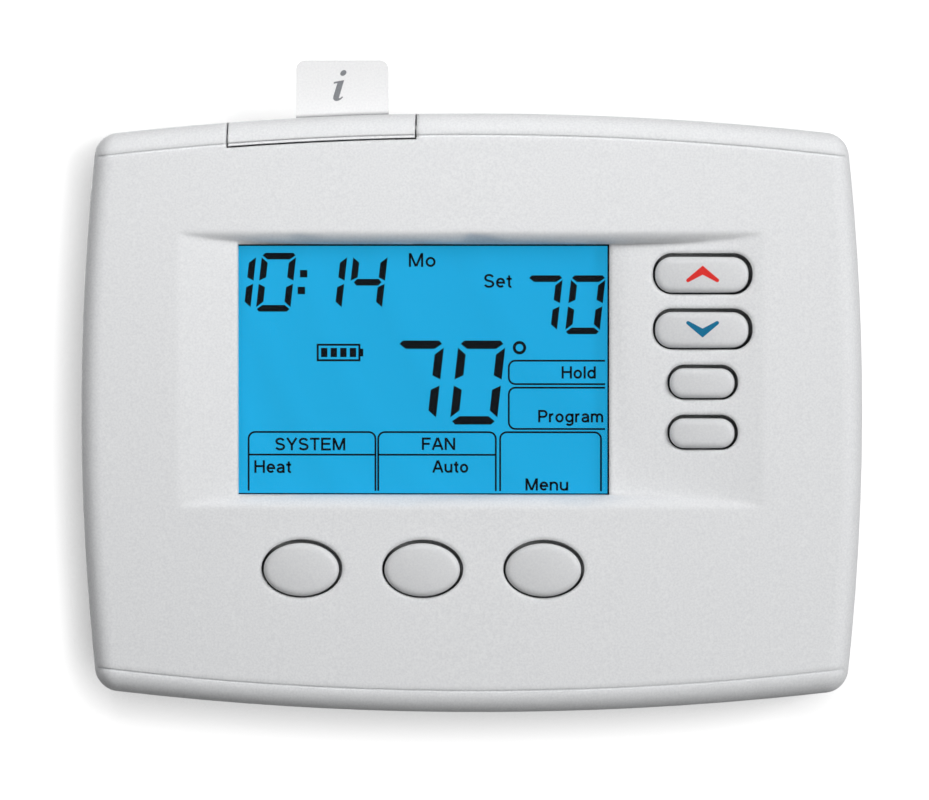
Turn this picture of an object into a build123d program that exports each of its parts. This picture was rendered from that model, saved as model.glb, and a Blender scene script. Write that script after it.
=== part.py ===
"""Wall thermostat: a front with a display, sprung keys and a card, which pulls off a screwed wall base.

Millimetres. X runs right, Z up, and the front faces -Y. The origin lies on the wall, midway between the two
wall screws. A depth is a distance from the wall towards the front, so a point at depth d has y = -d.
"""

import os

from build123d import *

# Case
CASE_WIDTH = 153.4
CASE_HEIGHT = 117.4
CASE_DEPTH = 32.6
SIDE_BOW_RADIUS = 480.0
TOP_BOW_RADIUS = 640.0
CROWN_RADIUS = 900.0
CORNER_RADIUS = 4.9
EDGE_ROUND = 4.2
MIN_ROUND = 0.3
WALL = 2.2
REAR_GAP = 1.0
GROOVE_INSET = 4.05
GROOVE_WIDTH = 0.55
GROOVE_DEPTH = 0.3

# Hollow panel round the display and the side keys
PANEL_DEPTH = 4.8
PANEL_END = 2.25
PANEL_ROLL = 2.2
PANEL_ROLL_RADIUS = 4.5
PANEL_MARGIN = 0.1
PANEL_WALL = 1.4
PANEL_BACKING_MARGIN = 2.6

# Display
WINDOW_WIDTH = 72.8
WINDOW_HEIGHT = 49.1
WINDOW_X = -9.25
WINDOW_Z = 8.5
LENS_FLANGE = 2.6
LENS_FLANGE_THICKNESS = 0.8
LENS_STEP = 0.8
LENS_CLEARANCE = 0.1
GLASS_MARGIN_X = 3.6
GLASS_MARGIN_Z = 3.6
GLASS_THICKNESS = 2.4
GLASS_LEDGE = 3.0
GUIDE_THICKNESS = 2.4
STRIP_THICKNESS = 1.8
STRIP_END = 2.0
GUIDE_SIDE = 1.0
HOLDER_WALL = 1.6
HOLDER_CLEARANCE = 0.1
HOLDER_RELIEF = 0.1

# Keys: hole sizes, and the places of their centres
KEY_GAP = 0.55
KEY_SHIFT = (-0.1, -0.18)
KEY_TRAVEL = 0.8
KEY_PROUD = 1.5
KEY_ROUND = 1.15
KEY_CROWN_RADIUS = 34.0
KEY_FLANGE = 0.8
KEY_FLANGE_THICKNESS = 0.8
KEY_FLANGE_CLEARANCE = 0.2
KEY_POST_RADIUS = 2.2
SIDE_KEY_OFFSET = 18.3
ARROW_KEY_SIZE = (19.5, 8.1, 3.8)
ARROW_KEY_DROPS = {"up": 5.75, "down": 16.55}
SMALL_KEY_SIZE = (13.8, 6.9, 3.3)
SMALL_KEY_DROPS = {"run": 26.95, "hold": 36.75}
OVAL_KEY_SIZE = (15.9, 11.5)
OVAL_KEY_DROP = 14.35
OVAL_KEY_PITCH = 23.7
OVAL_KEY_NAMES = ("system", "fan", "menu")

# Circuit board and what is soldered to it
BOARD_THICKNESS = 1.6
BOARD_SIDE_MARGIN = 3.0
BOARD_BOTTOM_MARGIN = 12.7
BOARD_TOP_MARGIN = 0.15
BOARD_CORNER = 2.0
BOARD_SCREW_EDGE = 3.5
SWITCH_SIZE = 6.0
SWITCH_HEIGHT = 3.5
PLUNGER_RADIUS = 1.75
PLUNGER_CLEARANCE = 0.1
PLUNGER_HIDDEN = 1.0
LED_SIZE = (2.0, 3.0, 1.8)
LED_COUNT = 4
RELAY_SIZE = (10.0, 15.0, 8.0)
RELAY_X = (24.0, 36.0, 48.0)
RELAY_DROP = 12.1
CONTROLLER_SIZE = 12.0
CONTROLLER_THICKNESS = 1.6
CONTROLLER_PLACE = (-30.0, -22.0)
CONTROLLER_LEGS = 8
LEG_PITCH = 1.25
LEG_WIDTH = 0.5
LEG_REACH = 1.4
SENSOR_X = -44.0
SENSOR_RADIUS = 1.4
SENSOR_DROP = 4.0
LEAD_RADIUS = 0.3
LEAD_PITCH = 1.6

# Screws
SCREW_RADIUS = 1.2
SCREW_HEAD_RADIUS = 2.6
SCREW_HEAD_HEIGHT = 1.6
SCREW_LENGTH = 6.0
SCREW_SLOT_WIDTH = 0.7
SCREW_SLOT_DEPTH = 0.8
PILOT_CLEARANCE = 0.1
PILOT_SPARE = 0.4
BOSS_RADIUS = 3.0
BOSS_HOLE_CLEARANCE = 0.4

# Rear housing, with the battery bay and the card sleeve
HOUSING_THICKNESS = 1.2
HOUSING_BOARD_GAP = 0.5
HOUSING_TOP_MARGIN = 7.8
HOUSING_CLEARANCE = 1.2
HOUSING_SCREW_SIDE = 10.2
HOUSING_SCREW_TOP = 18.7
HOUSING_SCREW_LOW = 6.0
CELL_RADIUS = 7.25
CELL_LENGTH = 50.5
CELL_NUB_RADIUS = 2.75
CELL_NUB_LENGTH = 1.0
CELL_SPACING = 0.3
CELL_CLEARANCE = 0.1
BAY_LEFT = -4.6
BAY_WALL = 1.4
BAY_REAR = 3.4
LEAF_RISE = 4.0
LEAF_THICKNESS = 0.4
LEAF_CHORD = 10.0
LEAF_WIDTH = 9.0
PLATE_THICKNESS = 0.5
PLATE_SIZE = 9.0
CONTACT_CLEARANCE = 0.05

# Pull-out card and its cap in the top edge
CARD_THICKNESS = 0.8
CARD_DEPTH = 14.0
CARD_WIDTH = 34.0
CARD_OFFSET = -0.05
CARD_BOTTOM = -6.5
CARD_SHOULDER_DROP = 6.7
TAB_WIDTH = 18.3
TAB_OFFSET = 3.25
TAB_RISE = 10.6
TAB_CORNER = 1.8
CAP_X = -29.1
CAP_WIDTH = 37.3
CAP_INSET = 5.0
CAP_REAR = 11.0
CAP_GAP = 0.3
CAP_THICKNESS = 2.0
CLIP_WALL = 1.4
CLIP_SIDE = 1.2
SLEEVE_CLEARANCE = 0.2
SLEEVE_WALL = 1.2
SLEEVE_DROP = 9.7
SLEEVE_RIB = 2.0

# Vent slots through the top and bottom edges
VENT_WIDTH = 1.8
VENT_LENGTH = 11.0
VENT_DEPTH = 14.0
VENT_PITCH = 5.0
BOTTOM_VENTS = 15
TOP_VENTS = 9
TOP_VENT_X = 26.0

# Wall base
BASE_THICKNESS = 2.4
BASE_CLEARANCE = 0.6
BASE_RIM = 1.6
BASE_RIM_HEIGHT = 6.0
FINGER_CLEARANCE = 0.3
FINGER_X = 34.0
FINGER_WIDTH = 12.0
FINGER_HEIGHT = 8.5
WALL_HOLE_SPACING = 83.3
WALL_HOLE_RADIUS = 2.3
WALL_HOLE_BOSS = 5.0
WALL_HOLE_BOSS_HEIGHT = 3.4
WIRE_HOLE_WIDTH = 26.0
WIRE_HOLE_HEIGHT = 19.0
WIRE_HOLE_CORNER = 3.0
WIRE_HOLE_RISE = 13.0
WIRE_HOLE_LIP = 1.4
WIRE_HOLE_LIP_HEIGHT = 4.0

# Terminals on the base
TERMINALS_PER_BLOCK = 5
TERMINAL_PITCH = 7.4
BLOCK_INNER_X = 15.5
BLOCK_HEIGHT = 18.0
BLOCK_BOTTOM_MARGIN = 12.7
BLOCK_FRONT = 11.0
TERMINAL_SCREW_DROP = 5.5
TERMINAL_POCKET_RADIUS = 3.1
TERMINAL_POCKET_DEPTH = 3.2
TERMINAL_SCREW_RADIUS = 1.5
TERMINAL_HEAD_RADIUS = 2.7
TERMINAL_HEAD_HEIGHT = 1.7
TERMINAL_SCREW_LENGTH = 4.0
CLAMP_SIZE = 4.2
CLAMP_THICKNESS = 0.8
WIRE_ENTRY_SIZE = 2.6
WIRE_ENTRY_LIFT = 0.3
PIN_RADIUS = 0.5
PIN_END = 6.0
PIN_DROP = 14.0
SOCKET_RADIUS = 0.85
SOCKET_BOTTOM = 4.5
HEADER_SIZE = 2.5

# Places that follow from the case and the window
CASE_SIDE = CASE_WIDTH / 2
CASE_TOP = CASE_HEIGHT / 2
WINDOW_TOP = WINDOW_Z + WINDOW_HEIGHT / 2
WINDOW_BOTTOM = WINDOW_Z - WINDOW_HEIGHT / 2
SIDE_KEY_X = WINDOW_X + WINDOW_WIDTH / 2 + SIDE_KEY_OFFSET
ARROW_KEY_Z = {name: WINDOW_TOP - drop for name, drop in ARROW_KEY_DROPS.items()}
SMALL_KEY_Z = {name: WINDOW_TOP - drop for name, drop in SMALL_KEY_DROPS.items()}
OVAL_KEY_Z = WINDOW_BOTTOM - OVAL_KEY_DROP
GLASS_WIDTH = WINDOW_WIDTH + 2 * GLASS_MARGIN_X
GLASS_HEIGHT = WINDOW_HEIGHT + 2 * GLASS_MARGIN_Z
PANEL_REACH = SIDE_KEY_X + ARROW_KEY_SIZE[0] / 2 + PANEL_END
BOARD_SIDE = PANEL_REACH + BOARD_SIDE_MARGIN
BOARD_TOP = WINDOW_Z + GLASS_HEIGHT / 2 + HOLDER_CLEARANCE + HOLDER_WALL + BOARD_TOP_MARGIN
BOARD_BOTTOM = BOARD_BOTTOM_MARGIN - CASE_TOP
CARD_X = CAP_X + CARD_OFFSET
CARD_SHOULDER = CASE_TOP - CARD_SHOULDER_DROP
TAB_X = CAP_X + TAB_OFFSET
TAB_TOP = CASE_TOP + TAB_RISE
SLEEVE_TOP = CASE_TOP - SLEEVE_DROP
SLEEVE_BOTTOM = CARD_BOTTOM - SLEEVE_CLEARANCE - SLEEVE_WALL
RELAY_Z = SLEEVE_BOTTOM - RELAY_DROP
HOUSING_TOP = CASE_TOP - HOUSING_TOP_MARGIN
BLOCK_BOTTOM = BLOCK_BOTTOM_MARGIN - CASE_TOP
BLOCK_TOP = BLOCK_BOTTOM + BLOCK_HEIGHT
TERMINAL_SCREW_Z = BLOCK_TOP - TERMINAL_SCREW_DROP
PIN_Z = BLOCK_TOP - PIN_DROP
WIRE_HOLE_Z = BLOCK_TOP + WIRE_HOLE_RISE

# Depths that follow from the stack behind the front face
PANEL_FLOOR = CASE_DEPTH - PANEL_DEPTH
PANEL_BACK = PANEL_FLOOR - PANEL_WALL
LENS_BACK = PANEL_BACK - LENS_FLANGE_THICKNESS
GLASS_BACK = LENS_BACK - GLASS_THICKNESS
BOARD_FRONT = GLASS_BACK - GUIDE_THICKNESS
BOARD_BACK = BOARD_FRONT - BOARD_THICKNESS
SWITCH_TOP = BOARD_FRONT + SWITCH_HEIGHT
PLUNGER_TOP = SWITCH_TOP + KEY_TRAVEL
HOUSING_FRONT = BOARD_BACK - HOUSING_BOARD_GAP
HOUSING_BACK = HOUSING_FRONT - HOUSING_THICKNESS
CELL_DEPTH = HOUSING_BACK - CELL_CLEARANCE - CELL_RADIUS
BAY_LENGTH = LEAF_RISE + CELL_LENGTH + PLATE_THICKNESS + 2 * CONTACT_CLEARANCE
CELL_PITCH = 2 * CELL_RADIUS + CELL_SPACING
BAY_HEIGHT = CELL_PITCH + 2 * (CELL_RADIUS + CELL_CLEARANCE)
BAY_CENTRE_Z = HOUSING_TOP - BAY_WALL - BAY_HEIGHT / 2
TOWARDS_FRONT = (0, -1, 0)


def corner_places(side, top, bottom):
    """Four places, mirrored left and right, as (x, z)."""
    return [(s * side, z) for z in (top, bottom) for s in (-1, 1)]


BOARD_SCREWS = corner_places(
    BOARD_SIDE - BOARD_SCREW_EDGE, BOARD_TOP - BOARD_SCREW_EDGE, BOARD_BOTTOM + BOARD_SCREW_EDGE
)
HOUSING_SCREWS = corner_places(
    CASE_SIDE - HOUSING_SCREW_SIDE, CASE_TOP - HOUSING_SCREW_TOP, SLEEVE_BOTTOM + HOUSING_SCREW_LOW
)


def slab(sketch, near, far):
    """Solid of a front-view sketch between two depths."""
    return extrude(Plane.XZ.offset(near) * sketch, far - near, dir=TOWARDS_FRONT)


def block(x, z, width, height, near, far):
    return slab(Pos(x, z) * Rectangle(width, height), near, far)


def rod(x, z, radius, near, far):
    return slab(Pos(x, z) * Circle(radius), near, far)


def group(solids):
    """Separate solids that share one node."""
    return Compound(children=[s for piece in solids for s in piece.solids()])


def outline(inset):
    """Front view of the case, four bowed sides with round corners, moved inwards by inset."""
    rise = CASE_TOP - TOP_BOW_RADIUS
    reach = CASE_SIDE - SIDE_BOW_RADIUS
    face = Pos(0, rise) * Circle(TOP_BOW_RADIUS - inset)
    face &= Pos(0, -rise) * Circle(TOP_BOW_RADIUS - inset)
    face &= Pos(reach, 0) * Circle(SIDE_BOW_RADIUS - inset)
    face &= Pos(-reach, 0) * Circle(SIDE_BOW_RADIUS - inset)
    return fillet(face.vertices(), max(CORNER_RADIUS - inset, MIN_ROUND))


def case_form(inset, rear):
    """Solid form of the case, moved inwards by inset: a crowned front with its whole edge rounded."""
    form = slab(outline(inset), rear, CASE_DEPTH + 1)
    form &= Pos(0, CROWN_RADIUS - CASE_DEPTH, 0) * Cylinder(CROWN_RADIUS - inset, 2 * CASE_HEIGHT)
    front = form.faces().sort_by(Axis.Y)[0]
    return fillet(front.edges(), max(EDGE_ROUND - inset, MIN_ROUND))


def top_band(inset, near, far):
    """Everything above the line that runs inset below the bowed top edge."""
    above = Pos(0, CASE_TOP) * Rectangle(CASE_WIDTH, CASE_TOP)
    above -= Pos(0, CASE_TOP - TOP_BOW_RADIUS) * Circle(TOP_BOW_RADIUS - inset)
    return slab(above, near, far)


def edge_groove():
    """Line pressed across the front, parallel to the top edge."""
    near = CASE_DEPTH - EDGE_ROUND - GROOVE_DEPTH
    line = top_band(GROOVE_INSET + GROOVE_WIDTH, near, CASE_DEPTH + 1)
    line -= top_band(GROOVE_INSET, near, CASE_DEPTH + 1)
    return line - case_form(GROOVE_DEPTH, 0)


def crown_drop(x):
    """How far the crowned front lies behind its crest at x."""
    return x**2 / (2 * CROWN_RADIUS)


def panel_floor_radius():
    """Radius of the panel's hollow floor, which runs out into the crowned front at both ends."""
    return PANEL_REACH**2 / (2 * (PANEL_DEPTH - crown_drop(PANEL_REACH)))


def panel_rise(x):
    """How far the hollow floor has come forward at x."""
    return x**2 / (2 * panel_floor_radius())


def panel_zone(near, far):
    """Block over the hollow panel, between two depths."""
    tall = WINDOW_HEIGHT + 2 * (PANEL_MARGIN + PANEL_ROLL + PANEL_BACKING_MARGIN)
    return block(0, WINDOW_Z, 2 * PANEL_REACH, tall, near, far)


def panel_tool():
    """Air of the hollow panel: a floor curved inwards between rolled walls that follow the crown."""
    low = WINDOW_BOTTOM - PANEL_MARGIN
    high = WINDOW_TOP + PANEL_MARGIN
    deep = -(PANEL_FLOOR - PANEL_WALL / 2)
    far = -(CASE_DEPTH + PANEL_DEPTH)
    with BuildSketch(Plane.YZ) as section:
        with BuildLine():
            Polyline((-PANEL_FLOOR, low), (deep, low), (deep, high), (-PANEL_FLOOR, high))
            top = RadiusArc((-PANEL_FLOOR, high), (-CASE_DEPTH, high + PANEL_ROLL), PANEL_ROLL_RADIUS)
            bottom = RadiusArc((-PANEL_FLOOR, low), (-CASE_DEPTH, low - PANEL_ROLL), -PANEL_ROLL_RADIUS)
            Polyline(top @ 1, (far, high + 3 * PANEL_ROLL), (far, low - 3 * PANEL_ROLL), bottom @ 1)
        make_face()
    crown_axis = Axis((0, CROWN_RADIUS - CASE_DEPTH, 0), (0, 0, 1))
    roll = revolve(section.sketch, crown_axis)
    hollow = Cylinder(panel_floor_radius(), CASE_HEIGHT)
    return roll & Pos(0, -PANEL_FLOOR - panel_floor_radius(), WINDOW_Z) * hollow


def key_table():
    """Name, place, hole outline, collar depth and front depth of each key."""
    keys = []
    for size, places in ((ARROW_KEY_SIZE, ARROW_KEY_Z), (SMALL_KEY_SIZE, SMALL_KEY_Z)):
        for name, z in places.items():
            front = PANEL_FLOOR + panel_rise(SIDE_KEY_X) + KEY_PROUD
            keys.append((name, SIDE_KEY_X, z, size, PANEL_BACK, front))
    for i, name in enumerate(OVAL_KEY_NAMES):
        x = WINDOW_X + (i - 1) * OVAL_KEY_PITCH
        edge = abs(x) + OVAL_KEY_SIZE[0] / 2 + KEY_FLANGE
        collar = CASE_DEPTH - WALL - crown_drop(edge)
        front = CASE_DEPTH - crown_drop(x) + KEY_PROUD
        keys.append((name, x, OVAL_KEY_Z, OVAL_KEY_SIZE, collar, front))
    return keys


def key_outline(size, grow):
    """A key's outline: a rounded bar where size has a corner radius, and otherwise an ellipse."""
    if len(size) == 3:
        return RectangleRounded(size[0] + 2 * grow, size[1] + 2 * grow, size[2] + grow)
    return Ellipse(size[0] / 2 + grow, size[1] / 2 + grow)


def key_cap(x, z, size, collar, front):
    """Domed cap with a retaining flange behind the case wall and a post that meets the switch plunger."""
    flange_front = collar - KEY_FLANGE_CLEARANCE
    flange_back = flange_front - KEY_FLANGE_THICKNESS
    shank = slab(Pos(*KEY_SHIFT) * key_outline(size, -KEY_GAP), flange_front, front)
    shank &= Pos(0, KEY_CROWN_RADIUS - front, 0) * Sphere(KEY_CROWN_RADIUS)
    dome = shank.faces().sort_by(Axis.Y)[0]
    cap = fillet(dome.edges(), KEY_ROUND)
    cap += slab(key_outline(size, KEY_FLANGE), flange_back, flange_front)
    cap += rod(0, 0, KEY_POST_RADIUS, PLUNGER_TOP, flange_back)
    return Pos(x, 0, z) * cap


def front_cover():
    """Moulded shell: crowned front with the hollow panel, window, key holes, grooves, notch and vents."""
    cavity = case_form(WALL, 0) - panel_zone(PANEL_BACK, CASE_DEPTH)
    cavity += panel_zone(BOARD_FRONT, PANEL_BACK)
    cover = case_form(0, REAR_GAP) - cavity
    inner = case_form(WALL / 2, 0)
    bosses = [rod(x, z, BOSS_RADIUS, BOARD_FRONT, CASE_DEPTH) for x, z in BOARD_SCREWS]
    bosses += [rod(x, z, BOSS_RADIUS, HOUSING_FRONT, CASE_DEPTH) for x, z in HOUSING_SCREWS]
    for boss in bosses:
        cover += boss & inner
    cover -= panel_tool()
    cover -= block(WINDOW_X, WINDOW_Z, WINDOW_WIDTH, WINDOW_HEIGHT, PANEL_BACK - 1, CASE_DEPTH + 1)
    for _name, x, z, size, _collar, _front in key_table():
        cover -= slab(Pos(x, z) * key_outline(size, 0), BOARD_FRONT, CASE_DEPTH + 1)
    groove = edge_groove()
    cover -= groove
    cover -= mirror(groove, Plane.XY)
    cover -= cap_region(0) & top_band(CAP_INSET, CAP_REAR, CASE_DEPTH + 1)
    pilot_radius = SCREW_RADIUS + PILOT_CLEARANCE
    pilot_length = SCREW_LENGTH + PILOT_SPARE
    for x, z in BOARD_SCREWS:
        cover -= rod(x, z, pilot_radius, BOARD_FRONT, BOARD_BACK + pilot_length)
    for x, z in HOUSING_SCREWS:
        cover -= rod(x, z, pilot_radius, HOUSING_FRONT, HOUSING_BACK + pilot_length)
    for i in range(BOTTOM_VENTS):
        x = (i - (BOTTOM_VENTS - 1) / 2) * VENT_PITCH
        cover -= vent(x, -CASE_TOP)
    for i in range(TOP_VENTS):
        x = TOP_VENT_X + (i - (TOP_VENTS - 1) / 2) * VENT_PITCH
        cover -= vent(x, CASE_TOP)
    return cover


def vent(x, z):
    near = VENT_DEPTH - VENT_LENGTH / 2
    return block(x, z, VENT_WIDTH, 4 * WALL, near, near + VENT_LENGTH)


def cap_region(gap):
    """Side limits of the cap in the top edge."""
    return block(CAP_X, CASE_TOP, CAP_WIDTH - 2 * gap, CASE_TOP, CAP_REAR + gap, CASE_DEPTH + 2)


def card_cap():
    """Piece of the top edge that carries the card, with a clip behind it."""
    cap = case_form(0, REAR_GAP) - case_form(CAP_THICKNESS, 0)
    cap &= cap_region(CAP_GAP)
    cap &= top_band(CAP_INSET - CAP_GAP, CAP_REAR + CAP_GAP, CASE_DEPTH + 2)
    cap -= edge_groove()
    tall = CASE_TOP - CARD_SHOULDER
    half_clip = CARD_THICKNESS / 2 + CLIP_WALL
    clip_z = CARD_SHOULDER + tall / 2
    clip_width = TAB_WIDTH + 2 * CLIP_SIDE
    clip = block(TAB_X, clip_z, clip_width, tall, CARD_DEPTH - half_clip, CARD_DEPTH + half_clip)
    cap += clip & case_form(CAP_THICKNESS / 2, 0)
    half_slot = CARD_THICKNESS / 2 + CONTACT_CLEARANCE
    slot_width = TAB_WIDTH + 2 * CONTACT_CLEARANCE
    return cap - block(TAB_X, clip_z, slot_width, 2 * tall, CARD_DEPTH - half_slot, CARD_DEPTH + half_slot)


def info_card():
    """Card with a round-cornered finger tab that stands above the case."""
    near = CARD_DEPTH - CARD_THICKNESS / 2
    body = Rectangle(CARD_WIDTH, CARD_SHOULDER - CARD_BOTTOM)
    body = Pos(CARD_X, (CARD_BOTTOM + CARD_SHOULDER) / 2) * body
    tab = Pos(TAB_X, (CARD_SHOULDER + TAB_TOP) / 2) * Rectangle(TAB_WIDTH, TAB_TOP - CARD_SHOULDER)
    face = body + tab
    tips = face.vertices().sort_by(Axis.Y)[-2:]
    return slab(fillet(tips, TAB_CORNER), near, near + CARD_THICKNESS)


def display_lens():
    flange_width = WINDOW_WIDTH + 2 * LENS_FLANGE
    flange_height = WINDOW_HEIGHT + 2 * LENS_FLANGE
    flange = block(WINDOW_X, WINDOW_Z, flange_width, flange_height, LENS_BACK, PANEL_BACK)
    pane_width = WINDOW_WIDTH - 2 * LENS_CLEARANCE
    pane_height = WINDOW_HEIGHT - 2 * LENS_CLEARANCE
    return flange + block(WINDOW_X, WINDOW_Z, pane_width, pane_height, LENS_BACK, PANEL_BACK + LENS_STEP)


def lcd_glass():
    return block(WINDOW_X, WINDOW_Z, GLASS_WIDTH, GLASS_HEIGHT, GLASS_BACK, LENS_BACK)


def backlight_guide():
    height = GLASS_HEIGHT - 2 * GLASS_LEDGE
    guide = block(WINDOW_X, WINDOW_Z, GLASS_WIDTH - 2 * GUIDE_SIDE, height, BOARD_FRONT, GLASS_BACK)
    for led in led_blocks(CONTACT_CLEARANCE):
        guide -= led
    return guide


def led_blocks(grow):
    """Lamps let into the guide's left edge."""
    thick, tall, high = LED_SIZE
    x = WINDOW_X - GLASS_WIDTH / 2 + GUIDE_SIDE + thick / 2
    pitch = WINDOW_HEIGHT / LED_COUNT
    places = [WINDOW_Z + (i - (LED_COUNT - 1) / 2) * pitch for i in range(LED_COUNT)]
    front = BOARD_FRONT + high + grow
    return [block(x, z, thick + 2 * grow, tall + 2 * grow, BOARD_FRONT, front) for z in places]


def contact_strips():
    """Rubber strips that join the glass's ledges to the board."""
    offset = GLASS_HEIGHT / 2 - GLASS_LEDGE / 2
    long = GLASS_WIDTH - 2 * STRIP_END
    places = (WINDOW_Z + offset, WINDOW_Z - offset)
    return [block(WINDOW_X, z, long, STRIP_THICKNESS, BOARD_FRONT, GLASS_BACK) for z in places]


def display_holder():
    inner_width = GLASS_WIDTH + 2 * HOLDER_CLEARANCE
    inner_height = GLASS_HEIGHT + 2 * HOLDER_CLEARANCE
    front = LENS_BACK - HOLDER_RELIEF
    ring = Rectangle(inner_width + 2 * HOLDER_WALL, inner_height + 2 * HOLDER_WALL)
    ring -= Rectangle(inner_width, inner_height)
    return slab(Pos(WINDOW_X, WINDOW_Z) * ring, BOARD_FRONT, front)


def main_board():
    face = RectangleRounded(2 * BOARD_SIDE, BOARD_TOP - BOARD_BOTTOM, BOARD_CORNER)
    face = Pos(0, (BOARD_TOP + BOARD_BOTTOM) / 2) * face
    for place in BOARD_SCREWS:
        face -= Pos(*place) * Circle(SCREW_RADIUS + BOSS_HOLE_CLEARANCE)
    for place in HOUSING_SCREWS:
        face -= Pos(*place) * Circle(BOSS_RADIUS + BOSS_HOLE_CLEARANCE)
    return slab(face, BOARD_BACK, BOARD_FRONT)


def key_switch(x, z):
    body = block(x, z, SWITCH_SIZE, SWITCH_SIZE, BOARD_FRONT, SWITCH_TOP)
    pit = SWITCH_TOP - PLUNGER_HIDDEN - KEY_TRAVEL - PLUNGER_CLEARANCE
    return body - rod(x, z, PLUNGER_RADIUS + PLUNGER_CLEARANCE, pit, SWITCH_TOP + 1)


def plunger(x, z):
    return rod(x, z, PLUNGER_RADIUS, SWITCH_TOP - PLUNGER_HIDDEN, PLUNGER_TOP)


def relays():
    width, height, thick = RELAY_SIZE
    return [block(x, RELAY_Z, width, height, BOARD_BACK - thick, BOARD_BACK) for x in RELAY_X]


def controller():
    """Square chip with a row of legs on each side."""
    x, z = CONTROLLER_PLACE
    chip = block(x, z, CONTROLLER_SIZE, CONTROLLER_SIZE, BOARD_BACK - CONTROLLER_THICKNESS, BOARD_BACK)
    span = CONTROLLER_SIZE + 2 * LEG_REACH
    for i in range(CONTROLLER_LEGS):
        along = (i - (CONTROLLER_LEGS - 1) / 2) * LEG_PITCH
        chip += block(x + along, z, LEG_WIDTH, span, BOARD_BACK - LEG_WIDTH, BOARD_BACK)
        chip += block(x, z + along, span, LEG_WIDTH, BOARD_BACK - LEG_WIDTH, BOARD_BACK)
    return chip


def room_sensor():
    """Bead on two leads below the board's edge, in the air that enters through the bottom vents."""
    depth = (BOARD_FRONT + BOARD_BACK) / 2
    sensor = Pos(SENSOR_X, -depth, BOARD_BOTTOM - SENSOR_DROP) * Sphere(SENSOR_RADIUS)
    for side in (-1, 1):
        lead = Cylinder(LEAD_RADIUS, SENSOR_DROP, align=(Align.CENTER, Align.CENTER, Align.MIN))
        sensor += Pos(SENSOR_X + side * LEAD_PITCH / 2, -depth, BOARD_BOTTOM - SENSOR_DROP) * lead
    return sensor


def screw(x, z, seat):
    """Slotted pan-head screw driven towards the front, with its head behind the depth called seat."""
    head_back = seat - SCREW_HEAD_HEIGHT
    slot_end = head_back + SCREW_SLOT_DEPTH
    body = rod(x, z, SCREW_HEAD_RADIUS, head_back, seat)
    body += rod(x, z, SCREW_RADIUS, seat, seat + SCREW_LENGTH)
    return body - block(x, z, 2 * SCREW_HEAD_RADIUS, SCREW_SLOT_WIDTH, head_back, slot_end)


def case_screws(places, seat):
    return [screw(x, z, seat) for x, z in places]


def rear_housing():
    """Plate behind the board that carries the battery bay and the card sleeve."""
    sheet = Pos(0, (HOUSING_TOP + SLEEVE_BOTTOM) / 2) * Rectangle(CASE_WIDTH, HOUSING_TOP - SLEEVE_BOTTOM)
    sheet &= outline(WALL + HOUSING_CLEARANCE)
    housing = slab(sheet, HOUSING_BACK, HOUSING_FRONT)
    bay_x = BAY_LEFT + BAY_LENGTH / 2
    bay = Rectangle(BAY_LENGTH + 2 * BAY_WALL, BAY_HEIGHT + 2 * BAY_WALL)
    housing += slab(Pos(bay_x, BAY_CENTRE_Z) * bay, BAY_REAR, HOUSING_FRONT)
    housing -= block(bay_x, BAY_CENTRE_Z, BAY_LENGTH, BAY_HEIGHT, BAY_REAR - 1, HOUSING_BACK)
    room = CARD_THICKNESS / 2 + SLEEVE_CLEARANCE
    pocket_width = CARD_WIDTH + 2 * SLEEVE_CLEARANCE
    floor = SLEEVE_BOTTOM + SLEEVE_WALL
    sleeve_z = (SLEEVE_TOP + SLEEVE_BOTTOM) / 2
    sleeve_tall = SLEEVE_TOP - SLEEVE_BOTTOM
    near = CARD_DEPTH - room - SLEEVE_WALL
    far = CARD_DEPTH + room + SLEEVE_WALL
    housing += block(CARD_X, sleeve_z, pocket_width + 2 * SLEEVE_WALL, sleeve_tall, near, far)
    for side in (-1, 1):
        rib_x = CARD_X + side * (pocket_width - SLEEVE_RIB) / 2
        housing += block(rib_x, sleeve_z, SLEEVE_RIB, sleeve_tall, far, HOUSING_BACK)
    pocket_z = floor + CASE_TOP
    housing -= block(CARD_X, pocket_z, pocket_width, CASE_HEIGHT, CARD_DEPTH - room, CARD_DEPTH + room)
    for x, z in HOUSING_SCREWS:
        housing -= rod(x, z, SCREW_RADIUS + BOSS_HOLE_CLEARANCE, HOUSING_BACK - 1, HOUSING_FRONT + 1)
    for x, z in BOARD_SCREWS:
        housing -= rod(x, z, SCREW_HEAD_RADIUS + BOSS_HOLE_CLEARANCE, HOUSING_BACK - 1, HOUSING_FRONT + 1)
    return housing


def cell_places():
    """Centre height of each cell, and whether its nub points left."""
    return ((BAY_CENTRE_Z + CELL_PITCH / 2, False), (BAY_CENTRE_Z - CELL_PITCH / 2, True))


def cell(z, nub_left):
    body_length = CELL_LENGTH - CELL_NUB_LENGTH
    can = Cylinder(CELL_RADIUS, body_length, align=(Align.CENTER, Align.CENTER, Align.MIN))
    nub = Cylinder(CELL_NUB_RADIUS, CELL_NUB_LENGTH, align=(Align.CENTER, Align.CENTER, Align.MIN))
    battery = can + Pos(0, 0, body_length) * nub
    if nub_left:
        start = BAY_LEFT + PLATE_THICKNESS + CONTACT_CLEARANCE + CELL_LENGTH
        return Pos(start, -CELL_DEPTH, z) * Rot(0, -90, 0) * battery
    start = BAY_LEFT + LEAF_RISE + CONTACT_CLEARANCE
    return Pos(start, -CELL_DEPTH, z) * Rot(0, 90, 0) * battery


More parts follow.
